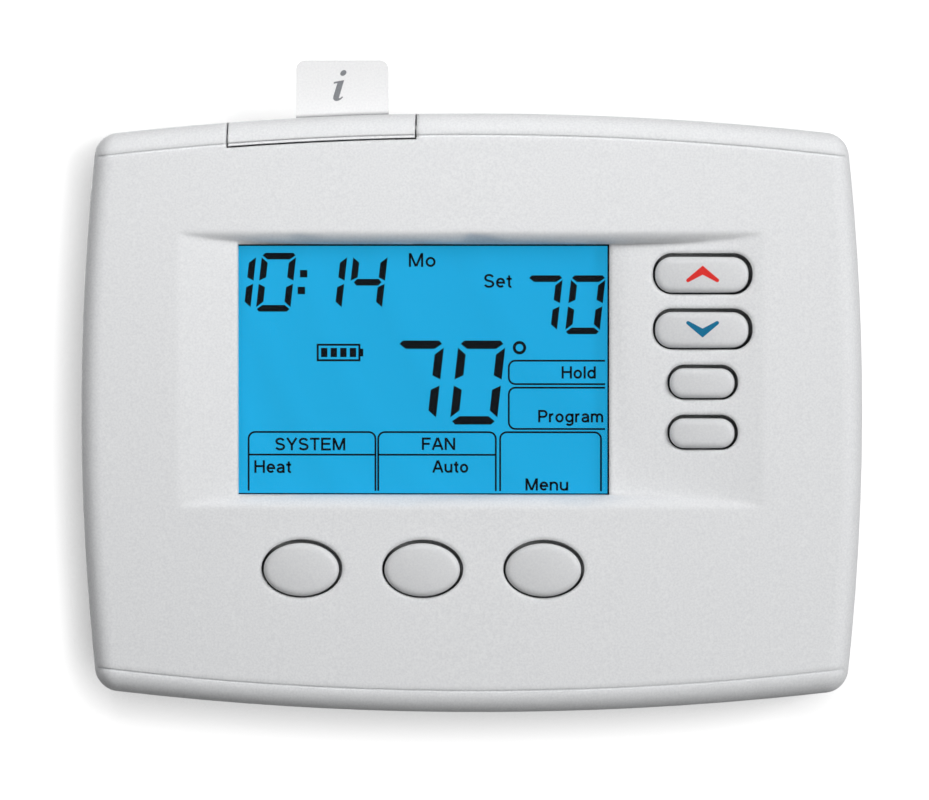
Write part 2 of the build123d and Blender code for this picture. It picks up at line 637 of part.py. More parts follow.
def battery_leaf(z, at_left):
    """Bowed spring leaf that presses on a cell's flat end."""
    radius = (LEAF_CHORD**2 / 4 + LEAF_RISE**2) / (2 * LEAF_RISE)
    bow = Circle(radius) - Circle(radius - LEAF_THICKNESS)
    bow = Pos(LEAF_RISE - radius, 0) * bow
    bow &= Pos(radius, 0) * Rectangle(2 * radius, 4 * radius)
    leaf = extrude(bow, LEAF_WIDTH / 2, both=True)
    if at_left:
        return Pos(BAY_LEFT, -CELL_DEPTH, z) * leaf
    return Pos(BAY_LEFT + BAY_LENGTH, -CELL_DEPTH, z) * Rot(0, 0, 180) * leaf


def battery_plate(z, at_left):
    x = BAY_LEFT + PLATE_THICKNESS / 2 if at_left else BAY_LEFT + BAY_LENGTH - PLATE_THICKNESS / 2
    return Pos(x, -CELL_DEPTH, z) * Box(PLATE_THICKNESS, PLATE_SIZE, PLATE_SIZE)


def wall_base():
    """Plate on the wall with a rim, four friction fingers, two screw holes and a lipped wire hole."""
    rim_inset = WALL + BASE_CLEARANCE
    finger_inset = WALL + FINGER_CLEARANCE
    base = slab(outline(rim_inset), 0, BASE_RIM_HEIGHT)
    base -= slab(outline(rim_inset + BASE_RIM), BASE_THICKNESS, BASE_RIM_HEIGHT + 1)
    fingers = slab(outline(finger_inset) - outline(rim_inset + BASE_RIM), 0, FINGER_HEIGHT)
    for x in (-FINGER_X, FINGER_X):
        base += fingers & block(x, 0, FINGER_WIDTH, CASE_HEIGHT, 0, FINGER_HEIGHT)
    lip_width = WIRE_HOLE_WIDTH + 2 * WIRE_HOLE_LIP
    lip_height = WIRE_HOLE_HEIGHT + 2 * WIRE_HOLE_LIP
    lip = Pos(0, WIRE_HOLE_Z) * RectangleRounded(lip_width, lip_height, WIRE_HOLE_CORNER + WIRE_HOLE_LIP)
    hole = Pos(0, WIRE_HOLE_Z) * RectangleRounded(WIRE_HOLE_WIDTH, WIRE_HOLE_HEIGHT, WIRE_HOLE_CORNER)
    base += slab(lip, 0, WIRE_HOLE_LIP_HEIGHT)
    base -= slab(hole, -1, WIRE_HOLE_LIP_HEIGHT + 1)
    for x in (-WALL_HOLE_SPACING / 2, WALL_HOLE_SPACING / 2):
        base += rod(x, 0, WALL_HOLE_BOSS, 0, WALL_HOLE_BOSS_HEIGHT)
        base -= rod(x, 0, WALL_HOLE_RADIUS, -1, WALL_HOLE_BOSS_HEIGHT + 1)
    trough = Rot(0, 90, 0) * Cylinder(CELL_RADIUS + CELL_CLEARANCE, BAY_LENGTH)
    for z, _nub_left in cell_places():
        base -= Pos(BAY_LEFT + BAY_LENGTH / 2, -CELL_DEPTH, z) * trough
    return base


def terminal_places(side):
    """X of each terminal in the left (-1) or right (+1) block."""
    return [side * (BLOCK_INNER_X + (i + 0.5) * TERMINAL_PITCH) for i in range(TERMINALS_PER_BLOCK)]


def terminal_block(side):
    width = TERMINALS_PER_BLOCK * TERMINAL_PITCH
    tall = BLOCK_TOP - BLOCK_BOTTOM
    x_middle = side * (BLOCK_INNER_X + width / 2)
    body = block(x_middle, (BLOCK_TOP + BLOCK_BOTTOM) / 2, width, tall, BASE_THICKNESS, BLOCK_FRONT)
    pocket_floor = BLOCK_FRONT - TERMINAL_POCKET_DEPTH
    for x in terminal_places(side):
        body -= rod(x, TERMINAL_SCREW_Z, TERMINAL_POCKET_RADIUS, pocket_floor, BLOCK_FRONT + 1)
        pilot_radius = TERMINAL_SCREW_RADIUS + PILOT_CLEARANCE
        body -= rod(x, TERMINAL_SCREW_Z, pilot_radius, pocket_floor - TERMINAL_SCREW_LENGTH, BLOCK_FRONT)
        entry = pocket_floor + WIRE_ENTRY_LIFT
        entry_tall = 2 * (BLOCK_TOP - TERMINAL_SCREW_Z)
        body -= block(x, BLOCK_TOP, WIRE_ENTRY_SIZE, entry_tall, entry, entry + WIRE_ENTRY_SIZE)
        body -= rod(x, PIN_Z, SOCKET_RADIUS, SOCKET_BOTTOM, BLOCK_FRONT + 1)
    return body


def terminal_clamp(x):
    """Square washer under a terminal screw's head."""
    floor = BLOCK_FRONT - TERMINAL_POCKET_DEPTH
    clamp = block(x, TERMINAL_SCREW_Z, CLAMP_SIZE, CLAMP_SIZE, floor, floor + CLAMP_THICKNESS)
    return clamp - rod(x, TERMINAL_SCREW_Z, TERMINAL_SCREW_RADIUS + PILOT_CLEARANCE, floor - 1, floor + 2)


def terminal_screw(x):
    """Slotted screw driven towards the wall, its head in the block's pocket."""
    seat = BLOCK_FRONT - TERMINAL_POCKET_DEPTH + CLAMP_THICKNESS
    top = seat + TERMINAL_HEAD_HEIGHT
    body = rod(x, TERMINAL_SCREW_Z, TERMINAL_HEAD_RADIUS, seat, top)
    body += rod(x, TERMINAL_SCREW_Z, TERMINAL_SCREW_RADIUS, seat - TERMINAL_SCREW_LENGTH, seat)
    slot_floor = top - SCREW_SLOT_DEPTH
    return body - block(x, TERMINAL_SCREW_Z, 2 * TERMINAL_HEAD_RADIUS, SCREW_SLOT_WIDTH, slot_floor, top + 1)


def pin_header(side):
    width = TERMINALS_PER_BLOCK * TERMINAL_PITCH
    x_middle = side * (BLOCK_INNER_X + width / 2)
    strip = block(x_middle, PIN_Z, width, HEADER_SIZE, BOARD_BACK - HEADER_SIZE, BOARD_BACK)
    for x in terminal_places(side):
        strip -= rod(x, PIN_Z, PIN_RADIUS + CONTACT_CLEARANCE, BOARD_BACK - HEADER_SIZE - 1, BOARD_BACK + 1)
    return strip


def all_nodes():
    terminals = terminal_places(-1) + terminal_places(1)
    nodes = {
        "front_cover": front_cover(),
        "card_cap": card_cap(),
        "info_card": info_card(),
        "display_lens": display_lens(),
        "lcd_glass": lcd_glass(),
        "backlight_guide": backlight_guide(),
        "backlight_lamps": group(led_blocks(0)),
        "contact_strips": group(contact_strips()),
        "display_holder": display_holder(),
        "main_board": main_board(),
        "board_screws": group(case_screws(BOARD_SCREWS, BOARD_BACK)),
        "relays": group(relays()),
        "controller_chip": controller(),
        "room_sensor": room_sensor(),
        "rear_housing": rear_housing(),
        "housing_screws": group(case_screws(HOUSING_SCREWS, HOUSING_BACK)),
        "battery_cells": group([cell(z, left) for z, left in cell_places()]),
        "battery_leaves": group([battery_leaf(z, not left) for z, left in cell_places()]),
        "battery_plates": group([battery_plate(z, left) for z, left in cell_places()]),
        "left_pin_header": pin_header(-1),
        "right_pin_header": pin_header(1),
        "contact_pins": group([rod(x, PIN_Z, PIN_RADIUS, PIN_END, BOARD_BACK) for x in terminals]),
        "wall_base": wall_base(),
        "left_terminal_block": terminal_block(-1),
        "right_terminal_block": terminal_block(1),
        "terminal_clamps": group([terminal_clamp(x) for x in terminals]),
        "terminal_screws": group([terminal_screw(x) for x in terminals]),
        "key_switches": group([key_switch(x, z) for name, x, z, *rest in key_table()]),
    }
    for name, x, z, size, collar, front in key_table():
        nodes[f"{name}_key"] = key_cap(x, z, size, collar, front)
        nodes[f"{name}_plunger"] = plunger(x, z)
    return nodes


os.makedirs("parts", exist_ok=True)
for node, shape in all_nodes().items():
    export_step(shape, f"parts/{node}.step")
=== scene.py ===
import math

import bmesh
import bpy
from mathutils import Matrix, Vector


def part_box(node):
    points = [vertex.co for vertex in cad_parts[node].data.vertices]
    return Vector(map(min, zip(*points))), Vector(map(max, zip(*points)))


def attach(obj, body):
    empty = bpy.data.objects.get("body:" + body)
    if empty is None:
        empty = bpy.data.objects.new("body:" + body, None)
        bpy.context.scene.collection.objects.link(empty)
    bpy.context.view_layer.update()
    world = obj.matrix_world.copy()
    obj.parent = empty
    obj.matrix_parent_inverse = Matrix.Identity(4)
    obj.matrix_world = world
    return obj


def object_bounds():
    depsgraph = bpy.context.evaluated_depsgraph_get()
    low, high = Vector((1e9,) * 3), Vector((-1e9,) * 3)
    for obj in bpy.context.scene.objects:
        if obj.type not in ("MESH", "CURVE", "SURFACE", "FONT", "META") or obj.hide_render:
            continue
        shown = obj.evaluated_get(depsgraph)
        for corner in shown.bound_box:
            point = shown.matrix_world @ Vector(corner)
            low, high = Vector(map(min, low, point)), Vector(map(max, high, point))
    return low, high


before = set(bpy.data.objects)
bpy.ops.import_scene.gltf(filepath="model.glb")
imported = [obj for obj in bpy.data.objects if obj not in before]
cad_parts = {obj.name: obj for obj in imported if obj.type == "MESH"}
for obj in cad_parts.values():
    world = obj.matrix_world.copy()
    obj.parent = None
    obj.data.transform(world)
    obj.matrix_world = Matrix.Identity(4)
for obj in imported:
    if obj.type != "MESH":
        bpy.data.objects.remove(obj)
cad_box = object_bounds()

MM = 0.001

# Display marks in millimetres, x right and z up from the middle of the window
DIGIT_SLANT = math.tan(math.radians(6.4))
# Segment ends as shares of the stroke: of a bar from the side, of a post from the top and from the middle
SMALL_DIGIT = {"height": 11.55, "width": 6.75, "stroke": 1.3, "side": 0.1, "top": 0.68, "middle": 0.24}
LARGE_DIGIT = {"height": 16.5, "width": 9.25, "stroke": 1.65, "side": 0.26, "top": 0.85, "middle": 0.36}
SEGMENTS = {"0": "abcdef", "1": "bc", "4": "bcfg", "7": "abc"}
NUMBERS = {
    "display_time": (SMALL_DIGIT, 11.3, (("1", -32.9), ("0", -25.05), ("1", -15.0), ("4", -7.05))),
    "display_set_value": (SMALL_DIGIT, 6.9, (("7", 27.3), ("0", 35.7))),
    "display_room_value": (LARGE_DIGIT, -10.85, (("7", 4.05), ("0", 16.1))),
}
COLON_DOTS = ((-23.65, 18.75), (-24.1, 15.45))
COLON_DOT = 1.45
DEGREE = (18.75, 4.25, 1.03)
DEGREE_STROKE = 0.58
FRAME_LINE = 0.36
FRAME_CORNER = 1.3
# Fields that are open on the right: left, right, top, bottom
SIDE_FIELDS = ((16.65, 35.55, 1.7, -2.9), (16.65, 35.55, -3.6, -11.7))
# Fields that are open at the foot: left, right, top, bottom
FOOT_FIELDS = ((-34.5, -9.55, -12.35, -23.9), (-9.0, 14.1, -12.35, -23.9), (14.95, 34.75, -12.35, -23.9))
FOOT_RULE = -16.8
BATTERY = (-20.9, -12.7, 1.75, 4.8)
BATTERY_LINE = 0.4
BATTERY_BARS = 4
BATTERY_BAR = 1.25
# Words: text, left end, foot, width and height of a capital
WORDS = {
    "display_day": ("Mo", -3.05, 20.1, 5.4, 2.7),
    "display_set": ("Set", 11.75, 16.0, 5.5, 2.7),
    "display_hold": ("Hold", 27.0, -1.8, 6.75, 2.4),
    "display_program": ("Program", 22.4, -10.4, 12.8, 2.4),
    "display_system": ("SYSTEM", -29.3, -15.95, 13.85, 2.45),
    "display_fan": ("FAN", -0.45, -15.85, 6.6, 2.4),
    "display_heat": ("Heat", -33.4, -20.4, 7.3, 2.5),
    "display_auto": ("Auto", 1.7, -20.3, 7.0, 2.4),
    "display_menu": ("Menu", 19.9, -23.8, 8.45, 2.4),
}
LETTER_STROKE = 0.42
LETTER_GAP = 0.09  # share of a capital's height
MITRE_LIMIT = 0.45  # least cosine of half the turn at a corner
# Painted shadow at the display window's right and top edges, a thin dark line at its foot: left, right, bottom,
# top of each strip
DISPLAY_EDGE_SHADOW = ((36.0, 37.0, -25.0, 25.0), (-37.0, 36.0, -25.0, -24.35), (-37.0, 36.0, 24.2, 25.0))
MARK_THICKNESS = 0.04

# Printed signs in millimetres
ARROW_APEX = 1.63
ARROW_NOTCH = -0.14
ARROW_TIP = (2.85, -1.25)
ARROW_TIP_RADIUS = 0.36
ARROW_STEPS = 8
PRINT_THICKNESS = 0.03
KEY_DOME_RADIUS = 34.0 * MM
LETTER_PLACE = (-27.3, 61.25)
LETTER_HEIGHT = 6.2
LETTER_LEAN = 0.3
CARD_MARGIN = 3.0
CARD_ROWS = 11
CARD_FIRST_ROW = 44.0
CARD_ROW_PITCH = 4.2
CARD_BAR = 0.9
TERMINAL_LETTERS = {"left_terminal_block": "GYWCR", "right_terminal_block": "OBLES"}
TERMINAL_LETTER_HEIGHT = 2.4
TERMINAL_LETTER_DROP = 12.2

# Camera and wall, in metres and degrees
IMAGE_WIDTH = 929
MM_PER_PIXEL = 0.19639
CAMERA_DISTANCE = 1.6
CAMERA_AZIMUTH = 2.0
CAMERA_ELEVATION = 1.6
CAMERA_AIM = (-1.32 * MM, -25.0 * MM, 2.45 * MM)
SENSOR_WIDTH = 36.0
WALL_HALF = 1.5
WALL_GAP = 0.3 * MM
# The wall's painted shadow falls away from the side light and fades out at this distance
WALL_SHADE = 10.0 * MM
WALL_SHADE_WAY = (0.7, -0.67, 0.25)
# Lamps: place and size in metres, power in watts
LAMPS = {
    "side_light": ((1.4, -1.35, 0.42), 0.6, 23.8),
    "top_light": ((-0.07, -0.32, 0.25), 0.16, 0.6),
    "front_light": ((-0.6, -1.25, 0.1), 0.4, 1.6),
    "rear_light": ((-0.35, 1.15, 0.25), 0.7, 12.0),
}
ROOM_LIGHT = 0.11

# Shade in narrow gaps: reach in millimetres, colour, and the shares of open air at which it is full and gone
KEY_GAP = (1.6, "#17181A", 0.18, 0.42)
CARD_SLOT = (1.0, "#57585B", 0.5, 0.95)
# Patches of pigment and of polish in moulded plastic, in millimetres
PIGMENT_PATCH = 0.4
POLISH_PATCH = 2.0
KEYS = ("up", "down", "run", "hold", "system", "fan", "menu")
# Moulded plastics: two colours, roughness, grain width, grain height and edge softening in millimetres, gap
# shade, nodes. Eroded grain is about 0.1 mm wide, finer than a pixel of the picture, so it is drawn three to
# six times as coarse.
PLASTICS = {
    "case_abs": ("#E1E2E4", "#EDEEEF", (0.58, 0.66), 0.34, 0.014, 1.5, None, ["front_cover"]),
    "lid_abs": ("#E1E2E4", "#EDEEEF", (0.58, 0.66), 0.34, 0.014, 0.5, None, ["card_cap"]),
    "key_abs": ("#D6D7D9", "#DEDFE0", (0.36, 0.44), 0.45, 0.008, 1.3, KEY_GAP, [key + "_key" for key in KEYS]),
    "inner_abs": (
        "#D6D6D5", "#E0E0DF", (0.58, 0.66), 0.5, 0.01, 0.15, None,
        ["rear_housing", "wall_base", "display_holder"],
    ),
    "card_styrene": ("#E2E2E3", "#EAEAEA", (0.4, 0.48), 0.3, 0.004, 0.08, CARD_SLOT, ["info_card"]),
    "black_resin": (
        "#191A1C", "#222326", (0.45, 0.6), 0.3, 0.01, 0.1, None,
        ["controller_chip", "left_pin_header", "right_pin_header", "key_switches", "room_sensor"]
        + [key + "_plunger" for key in KEYS],
    ),
    "grey_nylon": (
        "#484B50", "#52555A", (0.4, 0.5), 0.4, 0.008, 0.12, None,
        ["left_terminal_block", "right_terminal_block"],
    ),
    "ivory_resin": ("#D8D3C4", "#DFDACB", (0.3, 0.4), 0.6, 0.004, 0.15, None, ["relays"]),
    "frosted_acrylic": (
        "#C4DDEA", "#D2E8F2", (0.3, 0.5), 0.5, 0.006, 0.1, None,
        ["backlight_guide", "backlight_lamps"],
    ),
    "layered_silicone": ("#26272A", "#34353A", (0.6, 0.75), 0.3, 0.01, 0.1, None, ["contact_strips"]),
}
SLEEVE_BAND_START = 0.68  # share of a cell's length
# Plated metals: two colours, roughness, nodes
METALS = {
    "zinc_plated_steel": (
        "#B4B6B9", "#C6C8CB", (0.25, 0.4),
        ["board_screws", "housing_screws", "terminal_screws"],
    ),
    "nickel_plated_spring": ("#C4C2BC", "#D2D0CA", (0.2, 0.32), ["battery_leaves", "battery_plates"]),
    "bright_brass": ("#C79F52", "#D6B064", (0.22, 0.36), ["contact_pins", "terminal_clamps"]),
}


def linear(hex_colour):
    """Linear RGBA of an sRGB hex colour."""
    channels = [int(hex_colour[i : i + 2], 16) / 255 for i in (1, 3, 5)]
    return [c / 12.92 if c <= 0.04045 else ((c + 0.055) / 1.055) ** 2.4 for c in channels] + [1.0]


def add(tree, kind, links=None, **settings):
    """Adds a node, sets its properties, input values or ramp colours, and links its inputs from other nodes."""
    node = tree.nodes.new(kind)
    for key, value in settings.items():
        if key == "colours":
            for element, colour in zip(node.color_ramp.elements, value):
                element.color = linear(colour)
        elif hasattr(node, key):
            setattr(node, key, value)
        else:
            node.inputs[key.replace("_", " ")].default_value = value
    for key, output in (links or {}).items():
        tree.links.new(output, node.inputs[key])
    return node


def start_material(name):
    """A new material's tree, its shader, and object coordinates, which are metres in the part's frame."""
    material = bpy.data.materials.new(name)
    material.use_nodes = True
    tree = material.node_tree
    place = add(tree, "ShaderNodeTexCoord").outputs["Object"]
    return material, tree, tree.nodes["Principled BSDF"], place


def wander(tree, place, size_mm, low, high):
    """A value that wanders between low and high in patches of a size in millimetres."""
    noise = add(tree, "ShaderNodeTexNoise", {"Vector": place}, Scale=1 / (size_mm * MM), Detail=3.0)
    links = {"Value": noise.outputs["Fac"]}
    spread = add(tree, "ShaderNodeMapRange", links, From_Min=0.3, From_Max=0.7, To_Min=low, To_Max=high)
    return spread.outputs["Result"]


def mottle(tree, place, size_mm, low, high):
    """A colour that wanders between two hex colours in patches of a size in millimetres."""
    links = {"Fac": wander(tree, place, size_mm, 0.0, 1.0)}
    return add(tree, "ShaderNodeValToRGB", links, colours=(low, high)).outputs["Color"]


def grain(tree, shader, place, size_mm, height_mm, edge_mm=0.0):
    """Fine relief of a size and height in millimetres, over edges that are softened by edge_mm."""
    noise = add(tree, "ShaderNodeTexNoise", {"Vector": place}, Scale=1 / (size_mm * MM), Detail=2.0)
    links = {"Height": noise.outputs["Fac"]}
    if edge_mm:
        links["Normal"] = add(tree, "ShaderNodeBevel", samples=6, Radius=edge_mm * MM).outputs["Normal"]
    bump = add(tree, "ShaderNodeBump", links, Strength=1.0, Distance=height_mm * MM)
    tree.links.new(bump.outputs["Normal"], shader.inputs["Normal"])


def moulded_plastic(name, low, high, rough, grain_mm, height_mm, edge_mm, gap_shade):
    """Injection-moulded plastic from an eroded tool: an even colour, a fine matt grain and soft edges.

    The grain breaks up the gloss, so that little of it is left at a slant.
    """
    material, tree, shader, place = start_material(name)
    colour = mottle(tree, place, PIGMENT_PATCH, low, high)
    # Painted shade: the colour darkens towards a dark one in narrow gaps, where little open air reaches
    if gap_shade:
        reach_mm, dark, shut, clear = gap_shade
        open_air = add(tree, "ShaderNodeAmbientOcclusion", samples=8, Distance=reach_mm * MM)
        links = {"Value": open_air.outputs["AO"]}
        share = add(tree, "ShaderNodeMapRange", links, From_Min=shut, From_Max=clear)
        mix = add(tree, "ShaderNodeMix", {"Factor": share.outputs["Result"]}, data_type="RGBA")
        mix.inputs[6].default_value = linear(dark)
        tree.links.new(colour, mix.inputs[7])
        colour = mix.outputs[2]
    tree.links.new(colour, shader.inputs["Base Color"])
    tree.links.new(wander(tree, place, POLISH_PATCH, *rough), shader.inputs["Roughness"])
    grain(tree, shader, place, grain_mm, height_mm, edge_mm)
    shader.inputs["IOR"].default_value = 1.53
    shader.inputs["Specular IOR Level"].default_value = 0.2
    return material


def lit_display_glass():
    """Liquid crystal glass with a blue edge light: an even glow, a little stronger next to the lamps."""
    material, tree, shader, place = start_material("lit_display_glass")
    low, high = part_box("lcd_glass")
    axes = add(tree, "ShaderNodeSeparateXYZ", {"Vector": place})
    across = add(tree, "ShaderNodeMapRange", {"Value": axes.outputs["X"]}, From_Min=low[0], From_Max=high[0])
    links = {"Fac": across.outputs["Result"]}
    glow = add(tree, "ShaderNodeValToRGB", links, colours=("#20ADDC", "#1EABDC"))
    film = add(tree, "ShaderNodeValToRGB", links, colours=("#0B6E9C", "#0A6A98"))
    tree.links.new(glow.outputs["Color"], shader.inputs["Emission Color"])
    tree.links.new(film.outputs["Color"], shader.inputs["Base Color"])
    shader.inputs["Emission Strength"].default_value = 0.74
    shader.inputs["Roughness"].default_value = 0.4
    shader.inputs["Specular IOR Level"].default_value = 0.1
    # Matt grain of the polarising film, about 0.05 mm wide, drawn coarser so that it shows
    grain(tree, shader, place, 0.35, 0.004)
    return material


def display_ink():
    """Switched liquid crystal segments: near black, with a trace of the blue light behind them."""
    material, tree, shader, place = start_material("display_ink")
    tree.links.new(mottle(tree, place, 0.8, "#06090C", "#0D1217"), shader.inputs["Base Color"])
    shader.inputs["Roughness"].default_value = 0.6
    shader.inputs["Specular IOR Level"].default_value = 0.04
    return material


def clear_acrylic():
    """Polished clear acrylic pane with an anti-glare coat: see-through, with a weak mirror image."""
    material, tree, shader, place = start_material("clear_acrylic")
    tree.links.new(mottle(tree, place, 4.0, "#0A0E10", "#10161A"), shader.inputs["Base Color"])
    tree.links.new(wander(tree, place, 4.0, 0.05, 0.1), shader.inputs["Roughness"])
    shader.inputs["Alpha"].default_value = 0.07
    shader.inputs["IOR"].default_value = 1.49
    return material


def pad_print(name, low, high):
    """Pad-printed ink on moulded plastic: a flat, slightly uneven colour with a soft sheen."""
    material, tree, shader, place = start_material(name)
    tree.links.new(mottle(tree, place, 0.4, low, high), shader.inputs["Base Color"])
    shader.inputs["Roughness"].default_value = 0.5
    shader.inputs["Specular IOR Level"].default_value = 0.2
    # Screen of the print plate, about 0.1 mm wide, drawn twice as coarse so that it shows
    grain(tree, shader, place, 0.2, 0.004)
    return material


def plated_metal(name, low, high, rough):
    """Plated or bright metal: a mirror broken by fine handling marks."""
    material, tree, shader, place = start_material(name)
    tree.links.new(mottle(tree, place, 0.7, low, high), shader.inputs["Base Color"])
    tree.links.new(wander(tree, place, 0.6, *rough), shader.inputs["Roughness"])
    shader.inputs["Metallic"].default_value = 1.0
    # Handling marks, about 0.05 mm wide, drawn coarser so that they show
    grain(tree, shader, place, 0.25, 0.003, 0.1)
    return material


def solder_masked_board():
    """Glass-epoxy board under green solder mask: copper tracks show through as raised, paler lines."""
    material, tree, shader, place = start_material("solder_masked_board")
    links = {"Vector": place}
    # Tracks run about 2 mm apart, drawn coarser so that they show
    spread = {"distance": "CHEBYCHEV", "Scale": 1 / (7 * MM), "Randomness": 0.8}
    near = add(tree, "ShaderNodeTexVoronoi", links, feature="F1", **spread).outputs["Distance"]
    far = add(tree, "ShaderNodeTexVoronoi", links, feature="F2", **spread).outputs["Distance"]
    apart = add(tree, "ShaderNodeMath", {0: far, 1: near}, operation="SUBTRACT")
    track = add(tree, "ShaderNodeMapRange", {"Value": apart.outputs[0]}, From_Min=0.1, From_Max=0.06)
    links = {"Fac": track.outputs["Result"]}
    colour = add(tree, "ShaderNodeValToRGB", links, colours=("#1C5631", "#3B8450"))
    tree.links.new(colour.outputs["Color"], shader.inputs["Base Color"])
    tree.links.new(wander(tree, place, 3.0, 0.28, 0.4), shader.inputs["Roughness"])
    links = {"Height": track.outputs["Result"]}
    bump = add(tree, "ShaderNodeBump", links, Strength=1.0, Distance=0.03 * MM)
    tree.links.new(bump.outputs["Normal"], shader.inputs["Normal"])
    return material


def foil_sleeve():
    """Printed foil round a battery cell: a dark sleeve with a copper-coloured band at one end."""
    material, tree, shader, place = start_material("foil_sleeve")
    low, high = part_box("battery_cells")
    axes = add(tree, "ShaderNodeSeparateXYZ", {"Vector": place})
    along = add(tree, "ShaderNodeMapRange", {"Value": axes.outputs["X"]}, From_Min=low[0], From_Max=high[0])
    links = {"Fac": along.outputs["Result"]}
    sleeve = add(tree, "ShaderNodeValToRGB", links, colours=("#2A2D31", "#B9793F"))
    sleeve.color_ramp.interpolation = "CONSTANT"
    sleeve.color_ramp.elements[1].position = SLEEVE_BAND_START
    tree.links.new(sleeve.outputs["Color"], shader.inputs["Base Color"])
    tree.links.new(wander(tree, place, 1.5, 0.25, 0.35), shader.inputs["Roughness"])
    shader.inputs["Metallic"].default_value = 0.6
    return material


def seen_rays(tree):
    """1 for rays that show the background, straight, mirrored or through glass, and 0 for rays of light."""
    path = add(tree, "ShaderNodeLightPath")
    seen = path.outputs["Is Camera Ray"]
    for ray in ("Is Glossy Ray", "Is Transmission Ray"):
        seen = add(tree, "ShaderNodeMath", {0: seen, 1: path.outputs[ray]}, operation="MAXIMUM").outputs[0]
    return seen


def studio_wall():
    """Matt wall that is white to the eye, keeps the object's real shadow, adds a painted shadow next to it and
    is clear from behind.

    It is grey to rays of light, so that it throws little of it back on the object.
    """
    material, tree, shader, _place = start_material("studio_wall")
    shader.inputs["Base Color"].default_value = linear("#9A9A9A")
    shader.inputs["Roughness"].default_value = 0.9
    shader.inputs["Specular IOR Level"].default_value = 0.0
    shader.inputs["Emission Color"].default_value = linear("#FFFFFF")
    seen = seen_rays(tree)
    # Painted shadow: the wall's white glow dims near the object, on the side away from the side light
    x, y, z = WALL_SHADE_WAY
    lamp_side = add(tree, "ShaderNodeCombineXYZ", X=x, Y=y, Z=z)
    links = {"Normal": lamp_side.outputs["Vector"]}
    shelter = add(tree, "ShaderNodeAmbientOcclusion", links, samples=8, Distance=WALL_SHADE)
    lift = add(tree, "ShaderNodeMapRange", {"Value": shelter.outputs["AO"]}, From_Min=0.05, To_Max=0.96)
    shown = add(tree, "ShaderNodeMath", {0: seen, 1: lift.outputs["Result"]}, operation="MULTIPLY")
    tree.links.new(shown.outputs[0], shader.inputs["Emission Strength"])
    behind = add(tree, "ShaderNodeNewGeometry").outputs["Backfacing"]
    shadow_ray = add(tree, "ShaderNodeLightPath").outputs["Is Shadow Ray"]
    clear_to = add(tree, "ShaderNodeMath", {0: behind, 1: shadow_ray}, operation="MAXIMUM")
    clear = add(tree, "ShaderNodeBsdfTransparent")
    links = {0: clear_to.outputs[0], 1: shader.outputs["BSDF"], 2: clear.outputs["BSDF"]}
    mix = add(tree, "ShaderNodeMixShader", links)
    tree.links.new(mix.outputs["Shader"], tree.nodes["Material Output"].inputs["Surface"])
    return material


def place_piece(name, mesh, material, body):
    """An object of a mesh that rides on a body."""
    mesh.materials.append(material)
    piece = bpy.data.objects.new(name, mesh)
    bpy.context.collection.objects.link(piece)
    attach(piece, body)


def raised_marks(name, shapes, face_y, thickness_mm, origin=(0.0, 0.0)):
    """Mesh of thin prisms on a face towards -Y; shapes are (x, z) outlines in millimetres from origin.

    face_y is a depth in metres, or a function of x and z in metres for a face that isn't flat.
    """
    mesh = bmesh.new()
    for shape in shapes:
        points = [((x + origin[0]) * MM, (z + origin[1]) * MM) for x, z in shape]
        depths = [face_y(x, z) if callable(face_y) else face_y for x, z in points]
        back = [mesh.verts.new((x, y, z)) for (x, z), y in zip(points, depths)]
        front = [mesh.verts.new((x, y - thickness_mm * MM, z)) for (x, z), y in zip(points, depths)]
        mesh.faces.new(front)
        mesh.faces.new(back[::-1])
        for i in range(len(points)):
            j = (i + 1) % len(points)
            mesh.faces.new((front[j], front[i], back[i], back[j]))
    bmesh.ops.recalc_face_normals(mesh, faces=mesh.faces)
    data = bpy.data.meshes.new(name)
    mesh.to_mesh(data)
    mesh.free()
    return data


def rectangle(left, right, bottom, top):
    """Outline of a rectangle."""
    return [(left, bottom), (right, bottom), (right, top), (left, top)]


def arc(cx, cz, rx, rz, start, end, steps=10):
    """Points on an arc of an ellipse, with its angles in degrees."""
    angles = [math.radians(start + (end - start) * i / steps) for i in range(steps + 1)]
    return [(cx + rx * math.cos(a), cz + rz * math.sin(a)) for a in angles]


def ribbon(points, width, closed=False):
    """Quads of a width along a line of points, with mitred corners."""
    count = len(points)
    edges = []
    for i in range(count):
        here = Vector(points[i])
        before = Vector(points[i - 1]) if i or closed else here
        after = Vector(points[(i + 1) % count]) if i + 1 < count or closed else here
        ways = [way.normalized() for way in (here - before, after - here) if way.length > 1e-6]
        normals = [Vector((-way.y, way.x)) for way in ways]
        middle = sum(normals, Vector((0.0, 0.0))).normalized()
        reach = middle * (width / 2 / max(middle.dot(normals[0]), MITRE_LIMIT))
        edges.append((here + reach, here - reach))
    quads = []
    for i in range(count if closed else count - 1):
        (a, b), (c, d) = edges[i], edges[(i + 1) % count]
        quads.append([tuple(a), tuple(c), tuple(d), tuple(b)])
    return quads


